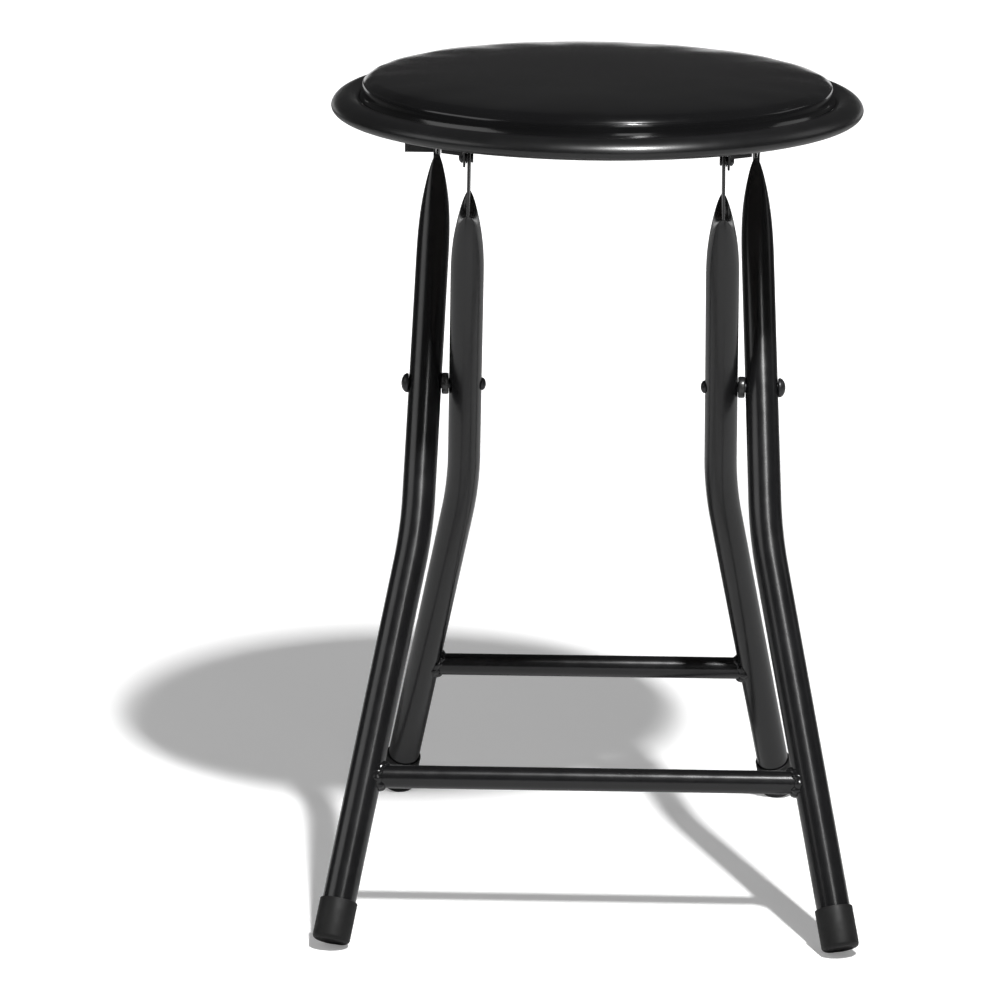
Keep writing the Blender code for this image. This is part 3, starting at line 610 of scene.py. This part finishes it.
class OBJECT_OT_stool_ring(StoolPiece, bpy.types.Operator):
    """Add the flat oval ring of the seat."""

    bl_idname = "object.stool_ring"
    bl_label = "Seat ring"

    def build(self, sizes, feet, seat, store):
        """Carry an oval round a circle: half ellipses above and below a nose, |cos|^1.15 wide."""
        turn = np.linspace(0, 2 * math.pi, RING_ROWS, endpoint=False)
        line = (RIM_HIGH[0] - RIM_LOW[0]) / 2 - seat.rim_width / 2
        nose = (RIM_LOW[2] + RIM_HIGH[2]) / 2 - seat.nose
        sine, cosine = np.sin(turn), np.cos(turn)
        tall = np.where(sine > 0, RIM_HIGH[2] - nose, nose - RIM_LOW[2])
        bend = np.where((sine > 0) & (cosine > 0), 1.15, 1.0)
        wide = np.sign(cosine) * np.abs(cosine) ** bend
        rise = np.sign(sine) * np.abs(sine) ** bend
        profile = list(zip(line + seat.rim_width / 2 * wide, nose + tall * rise))
        grid = revolve(profile, (0, MIDDLE_Y, 0), (0, 0, 1), RING_COLUMNS)
        finish_mesh("seat_ring", grid, grid_faces(RING_ROWS, RING_COLUMNS, True),
                    store["ring_powder_coat"], "seat", ["seat_rim"], 80)


def swollen(points, faces, seat, held, free):
    """Blow up a closed cover whose lower side is held; a move d is cut to d/(1 + d/cap)."""
    scene = bpy.context.scene
    mesh = bpy.data.meshes.new("cover_start")
    mesh.from_pydata(points.tolist(), [], faces)
    cover = bpy.data.objects.new("cover_start", mesh)
    scene.collection.objects.link(cover)
    grid = cover.modifiers.new("even points", "REMESH")
    grid.mode = "VOXEL"
    grid.voxel_size = seat.voxel
    graph = bpy.context.evaluated_depsgraph_get()
    mesh = bpy.data.meshes.new_from_object(cover.evaluated_get(graph))
    cover.modifiers.clear()
    cover.data = mesh
    begin = np.zeros((len(mesh.vertices), 3))
    mesh.vertices.foreach_get("co", begin.reshape(-1))
    weight = np.clip((free - begin[:, 2]) / (free - held), 0, 1)
    group = cover.vertex_groups.new(name="held")
    for level in range(1, HOLD_STEPS + 1):
        here = np.flatnonzero(np.ceil(weight * HOLD_STEPS) == level)
        group.add(here.tolist(), level / HOLD_STEPS, "REPLACE")
    cloth = cover.modifiers.new("air", "CLOTH")
    cloth.settings.quality = 6
    cloth.settings.mass = 0.3
    cloth.settings.vertex_group_mass = "held"
    cloth.settings.use_pressure = True
    cloth.settings.uniform_pressure_force = AIR_PRESSURE
    cloth.settings.effector_weights.gravity = 0.0
    cloth.point_cache.frame_start, cloth.point_cache.frame_end = 1, AIR_FRAMES
    for step in range(1, AIR_FRAMES + 1):
        scene.frame_set(step)
    graph = bpy.context.evaluated_depsgraph_get()
    after = bpy.data.meshes.new_from_object(cover.evaluated_get(graph))
    moved = np.zeros_like(begin)
    after.vertices.foreach_get("co", moved.reshape(-1))
    scene.frame_set(1)
    bpy.data.objects.remove(cover)
    move = moved - begin
    return begin, move / (1 + np.linalg.norm(move, axis=1, keepdims=True) / seat.cap)


def sampled(begin, move, level, points, cells=72, reach=0.15):
    """Average the moves above a level on a square net, smooth it and read it at points."""
    top = begin[:, 2] > level
    spot = np.clip(((begin[top, :2] - (0, MIDDLE_Y)) / reach + 1) / 2 * cells, 0, cells - 1)
    spot = spot.astype(int)
    total = np.zeros((cells, cells, 4))
    np.add.at(total, (spot[:, 0], spot[:, 1]), np.column_stack([move[top], np.ones(top.sum())]))
    for _ in range(10):
        total = sum(np.roll(total, step, axis) for step in (-1, 0, 1) for axis in (0, 1)) / 6
    net = total[..., :3] / np.maximum(total[..., 3:], 1e-4)
    at = np.clip(((points[:, :2] - (0, MIDDLE_Y)) / reach + 1) / 2 * cells - 0.5, 0, cells - 1.001)
    cell = at.astype(int)
    (a, b), (u, v) = cell.T, (at - cell).T[..., None]
    return ((1 - u) * (1 - v) * net[a, b] + u * (1 - v) * net[a + 1, b]
            + (1 - u) * v * net[a, b + 1] + u * v * net[a + 1, b + 1])


class OBJECT_OT_stool_cushion(StoolPiece, bpy.types.Operator):
    """Add the padded vinyl cushion."""

    bl_idname = "object.stool_cushion"
    bl_label = "Cushion"

    def build(self, sizes, feet, seat, store):
        """Turn z = height - crown*s^2.4 - edge*s^30, s = r/R, over a steep side, then swell it."""
        low, high = (np.array(corner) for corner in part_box("seat_cushion"))
        radius, base = (high[0] - low[0]) / 2 + 0.0002, low[2] + CLEARANCE
        shoulder = seat.height - seat.crown - seat.edge
        around = np.linspace(0, math.pi / 2, 5)
        share = 1 - np.linspace(0, 0.985, 64) ** 2.5
        top = seat.height - seat.crown * share ** 2.4 - seat.edge * share ** 30
        profile = [(0.002, base), (radius * 0.5, base), (radius * 0.9, base)]
        profile += list(zip(radius + 0.0012 + 0.0008 * np.sin(around),
                            base + 0.0008 - 0.0008 * np.cos(around)))
        profile += list(zip(radius + np.array((0.0008, 0.0005, 0.0005, 0.0004, 0.0002)),
                            base + (shoulder - base) * np.array((0.3, 0.5, 0.7, 0.86, 0.96))))
        profile += list(zip(radius * share, top))
        points, faces = capped(revolve(profile, (0, MIDDLE_Y, 0), (0, 0, 1), 256))
        loose = np.clip((points[:, 2] - base - 0.003) / (shoulder - base), 0, 1)[:, None]
        begin, move = swollen(points, faces, seat, base + 0.002, shoulder + 0.001)
        move = sampled(begin, move, shoulder, points)
        points = points + loose * (move - move.mean(axis=0))
        points = self.settled(points, seat, radius, base, shoulder)
        piece = finish_mesh("seat_pad", points, faces, store["cushion_vinyl"], "seat",
                            ["seat_cushion"], 80)
        smooth = piece.modifiers.new("smooth cover", "SUBSURF")
        smooth.levels = smooth.render_levels = 1

    def settled(self, points, seat, radius, base, shoulder):
        """Stuff the cover at its left, ripple its shoulder and keep it inside the ring."""
        flat = points[:, :2] - np.array((0.0, MIDDLE_Y))
        away = np.linalg.norm(flat, axis=1)
        turn = np.arctan2(flat[:, 1], flat[:, 0])
        level, out = points[:, 2], away / radius
        high = np.clip((level - shoulder) / 0.002, 0, 1)
        stuffed = np.clip(np.cos(turn + math.radians(100)), 0, 1) * np.clip(out, 0, 1) ** 2
        stuffed += 0.4 * np.clip(np.cos(turn - math.radians(150)), 0, 1) * np.clip(out, 0, 1) ** 2
        wave = (np.sin(9 * turn + 0.6) + 0.8 * np.sin(14 * turn + 2.0)
                + 0.7 * np.sin(23 * turn + 4.1) + 0.5 * np.sin(37 * turn + 1.2))
        band = np.exp(-((out - 0.985) / 0.03) ** 2)
        level = level + high * (seat.full * stuffed + seat.ripple * band * wave * 0.5)
        line = (RIM_HIGH[0] - RIM_LOW[0]) / 2 - seat.rim_width / 2
        nose = (RIM_LOW[2] + RIM_HIGH[2]) / 2 - seat.nose
        share = np.clip((level - nose) / (RIM_HIGH[2] - nose), -1, 1)
        away = np.minimum(away, line - seat.rim_width / 2 * np.sqrt(1 - share ** 2) - 0.00005)
        return np.stack([away * np.cos(turn), away * np.sin(turn) + MIDDLE_Y,
                         np.maximum(level, base)], axis=1)


def bevelled_copy(source, name, look, body, width):
    """Merge a copy of a CAD plate, round its edges and let it stand for the plate."""
    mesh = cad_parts[source].data.copy()
    work = bmesh.new()
    work.from_mesh(mesh)
    bmesh.ops.remove_doubles(work, verts=work.verts, dist=1e-5)
    bmesh.ops.dissolve_limit(work, angle_limit=math.radians(2), verts=work.verts,
                             edges=work.edges)
    bmesh.ops.recalc_face_normals(work, faces=work.faces)
    work.to_mesh(mesh)
    work.free()
    piece = bpy.data.objects.new(name, mesh)
    bpy.context.scene.collection.objects.link(piece)
    mesh.materials.clear()
    mesh.materials.append(look)
    edge = piece.modifiers.new("rounded edges", "BEVEL")
    edge.width = width
    edge.segments = 2
    edge.limit_method = "ANGLE"
    edge.angle_limit = math.radians(30)
    edge.harden_normals = False
    mesh.shade_smooth()
    mesh.set_sharp_from_angle(angle=math.radians(40))
    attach(piece, body)
    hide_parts(source)
    return piece


class OBJECT_OT_stool_plates(StoolPiece, bpy.types.Operator):
    """Add the front brackets and rear hooks as pressed plates with soft edges."""

    bl_idname = "object.stool_plates"
    bl_label = "Brackets and hooks"

    def build(self, sizes, feet, seat, store):
        """Round the edges of each plate."""
        for name in SIDES:
            bevelled_copy(f"front_bracket_{name}", f"front_plate_{name}",
                          store["plate_powder_coat"], "seat", PLATE_EDGE)
            bevelled_copy(f"rear_hook_{name}", f"rear_plate_{name}",
                          store["plate_powder_coat"], "seat", PLATE_EDGE)


class OBJECT_OT_stool_small_parts(StoolPiece, bpy.types.Operator):
    """Add the front pins, rear studs, board screws and the board's finish."""

    bl_idname = "object.stool_small_parts"
    bl_label = "Pins, studs, screws and board"

    def build(self, sizes, feet, seat, store):
        """Round the small parts and give the board its veneer."""
        for name in SIDES:
            bevelled_copy(f"front_pin_{name}", f"front_rivet_{name}", store["rivet_black"],
                          "seat", PIN_EDGE)
            bevelled_copy(f"rear_stud_{name}", f"rear_peg_{name}", store["rivet_black"],
                          "outer_frame", PIN_EDGE)
        for number in range(1, 9):
            bevelled_copy(f"board_screw_{number}", f"screw_{number}", store["screw_zinc"],
                          "seat", SCREW_EDGE)
        bevelled_copy("seat_board", "veneered_board", store["board_veneer"], "seat",
                      BOARD_EDGE)


def area_light(name, place, size, power):
    """Add a rectangular lamp that looks at the seat."""
    data = bpy.data.lights.new(name, "AREA")
    data.shape = "RECTANGLE"
    data.size, data.size_y = size
    data.energy = power
    lamp = bpy.data.objects.new(name, data)
    bpy.context.scene.collection.objects.link(lamp)
    lamp.location = place
    direction = np.array(SEAT_SPOT, float) - np.array(place, float)
    lamp.rotation_euler = Vector(direction.tolist()).to_track_quat("-Z", "Y").to_euler()
    return lamp


def sheet(name, corners, look):
    """Add a flat rectangle to the stage."""
    mesh = bpy.data.meshes.new(name)
    mesh.from_pydata(np.array(corners, float).tolist(), [], [(0, 1, 2, 3)])
    made = bpy.data.objects.new(name, mesh)
    bpy.context.scene.collection.objects.link(made)
    mesh.materials.append(look)
    return made


class OBJECT_OT_stool_stage(bpy.types.Operator):
    """Add the floor, lamps, world and camera."""

    bl_idname = "object.stool_stage"
    bl_label = "Stage"
    bl_options = {"REGISTER", "UNDO"}

    def execute(self, context):
        """Build the studio."""
        scene = context.scene
        scene.view_settings.view_transform = "Standard"
        self.floor(scene)
        self.lamps()
        self.world(scene)
        self.camera(scene)
        return {"FINISHED"}

    def floor(self, scene):
        """Lay a wide white floor; far outside the shadow the camera sees it glow to white."""
        made, tree, shader = blank("floor_white", Roughness=0.9, Specular_IOR_Level=0.0)
        shader.inputs["Base Color"].default_value = tuple(scene.stool_colours.floor) + (1.0,)
        path = node(tree, "ShaderNodeLightPath")
        place = node(tree, "ShaderNodeTexCoord")
        apart = node(tree, "ShaderNodeVectorMath", operation="LENGTH")
        far = node(tree, "ShaderNodeMapRange", interpolation_type="SMOOTHSTEP")
        for key, value in (("From Min", GLOW_BEGIN), ("From Max", GLOW_END),
                           ("To Min", GLOW_LOW), ("To Max", GLOW_FULL)):
            far.inputs[key].default_value = value
        glow = node(tree, "ShaderNodeEmission")
        tree.links.new(place.outputs["Object"], apart.inputs[0])
        tree.links.new(apart.outputs["Value"], far.inputs["Value"])
        tree.links.new(far.outputs["Result"], glow.inputs["Strength"])
        total = node(tree, "ShaderNodeAddShader")
        pick = node(tree, "ShaderNodeMixShader")
        dim = node(tree, "ShaderNodeMixShader")
        dimmed = node(tree, "ShaderNodeMath", operation="MULTIPLY")
        dimmed.inputs[1].default_value = FLOOR_DIMMED
        dark = node(tree, "ShaderNodeBsdfDiffuse", Color=(0.0, 0.0, 0.0, 1.0))
        out = tree.nodes["Material Output"]
        tree.links.new(shader.outputs["BSDF"], total.inputs[0])
        tree.links.new(glow.outputs["Emission"], total.inputs[1])
        tree.links.new(path.outputs["Is Camera Ray"], pick.inputs["Fac"])
        tree.links.new(shader.outputs["BSDF"], pick.inputs[1])
        tree.links.new(total.outputs["Shader"], pick.inputs[2])
        tree.links.new(path.outputs["Is Glossy Ray"], dimmed.inputs[0])
        tree.links.new(dimmed.outputs["Value"], dim.inputs["Fac"])
        tree.links.new(pick.outputs["Shader"], dim.inputs[1])
        tree.links.new(dark.outputs["BSDF"], dim.inputs[2])
        tree.links.new(dim.outputs["Shader"], out.inputs["Surface"])
        sheet("studio_floor", FLOOR_CORNERS, made)

    def lamps(self):
        """Place the key, boxes, a strip that only gleams and a card behind for the edges."""
        for name, (place, size, power) in LAMPS.items():
            area_light(name, place, size, power).visible_diffuse = name != "gleam"
        made = bpy.data.materials.new("card_white")
        made.use_nodes = True
        tree = made.node_tree
        glow = node(tree, "ShaderNodeEmission", Strength=1.0)
        tree.links.new(glow.outputs["Emission"],
                       tree.nodes["Material Output"].inputs["Surface"])
        card = sheet("back_card", CARD_CORNERS, made)
        card.visible_camera = card.visible_diffuse = card.visible_shadow = False

    def world(self, scene):
        """Light the room evenly, dark to reflections, and show white behind everything."""
        world = bpy.data.worlds.new("studio")
        scene.world = world
        world.use_nodes = True
        tree = world.node_tree
        back = tree.nodes["Background"]
        back.inputs["Color"].default_value = (1.0, 1.0, 1.0, 1.0)
        back.inputs["Strength"].default_value = ROOM_LIGHT
        dark = node(tree, "ShaderNodeBackground", Strength=ROOM_MIRRORED)
        white = node(tree, "ShaderNodeBackground", Strength=ROOM_SEEN)
        path = node(tree, "ShaderNodeLightPath")
        first = node(tree, "ShaderNodeMixShader")
        second = node(tree, "ShaderNodeMixShader")
        tree.links.new(path.outputs["Is Glossy Ray"], first.inputs["Fac"])
        tree.links.new(back.outputs["Background"], first.inputs[1])
        tree.links.new(dark.outputs["Background"], first.inputs[2])
        tree.links.new(path.outputs["Is Camera Ray"], second.inputs["Fac"])
        tree.links.new(first.outputs["Shader"], second.inputs[1])
        tree.links.new(white.outputs["Background"], second.inputs[2])
        tree.links.new(second.outputs["Shader"], tree.nodes["World Output"].inputs["Surface"])

    def camera(self, scene):
        """Stand where the photograph was taken from."""
        yaw, pitch, roll = CAMERA_YAW, CAMERA_PITCH, CAMERA_ROLL
        ahead = np.array((math.sin(yaw) * math.cos(pitch), math.cos(yaw) * math.cos(pitch),
                          -math.sin(pitch)))
        right = np.array((math.cos(yaw), -math.sin(yaw), 0.0))
        down = np.cross(ahead, right)
        right, down = (math.cos(roll) * right + math.sin(roll) * down,
                       -math.sin(roll) * right + math.cos(roll) * down)
        data = bpy.data.cameras.new("camera")
        data.sensor_width = SENSOR_WIDTH
        data.lens = FOCAL_PIXELS / PICTURE_PIXELS * SENSOR_WIDTH
        data.clip_end = 60.0
        camera = bpy.data.objects.new("camera", data)
        scene.collection.objects.link(camera)
        turn = np.eye(4)
        turn[:3, 0], turn[:3, 1], turn[:3, 2] = right, -down, -ahead
        turn[:3, 3] = CAMERA_PLACE
        camera.matrix_world = Matrix(turn.tolist())
        scene.camera = camera


PIECES = (OBJECT_OT_stool_legs, OBJECT_OT_stool_bars, OBJECT_OT_stool_welds,
          OBJECT_OT_stool_feet, OBJECT_OT_stool_rivets, OBJECT_OT_stool_ring,
          OBJECT_OT_stool_cushion, OBJECT_OT_stool_plates, OBJECT_OT_stool_small_parts,
          OBJECT_OT_stool_stage)
GROUPS = {"stool_frame": StoolFrameSizes, "stool_feet": StoolFootSizes,
          "stool_seat": StoolSeatSizes, "stool_colours": StoolColours}


class VIEW3D_PT_stool(bpy.types.Panel):
    """List the stool's sizes and pieces in the sidebar."""

    bl_label = "Folding stool"
    bl_space_type = "VIEW_3D"
    bl_region_type = "UI"
    bl_category = "Stool"

    def draw(self, context):
        """Show the sizes, then a button for each piece."""
        for key, group in GROUPS.items():
            values = getattr(context.scene, key)
            box = self.layout.box()
            for field in group.__annotations__:
                box.prop(values, field)
        for piece in PIECES:
            self.layout.operator(piece.bl_idname)


def register():
    """Register the classes and hang the sizes on the scene."""
    for group in GROUPS.values():
        bpy.utils.register_class(group)
    for piece in PIECES + (VIEW3D_PT_stool,):
        bpy.utils.register_class(piece)
    for key, group in GROUPS.items():
        setattr(bpy.types.Scene, key, bpy.props.PointerProperty(type=group))


def unregister():
    """Take everything away again."""
    for key in GROUPS:
        delattr(bpy.types.Scene, key)
    for piece in (VIEW3D_PT_stool,) + PIECES[::-1]:
        bpy.utils.unregister_class(piece)
    for group in GROUPS.values():
        bpy.utils.unregister_class(group)


def main():
    """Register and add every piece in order."""
    register()
    for piece in PIECES:
        area, name = piece.bl_idname.split(".")
        getattr(getattr(bpy.ops, area), name)()


if __name__ == "__main__":
    main()
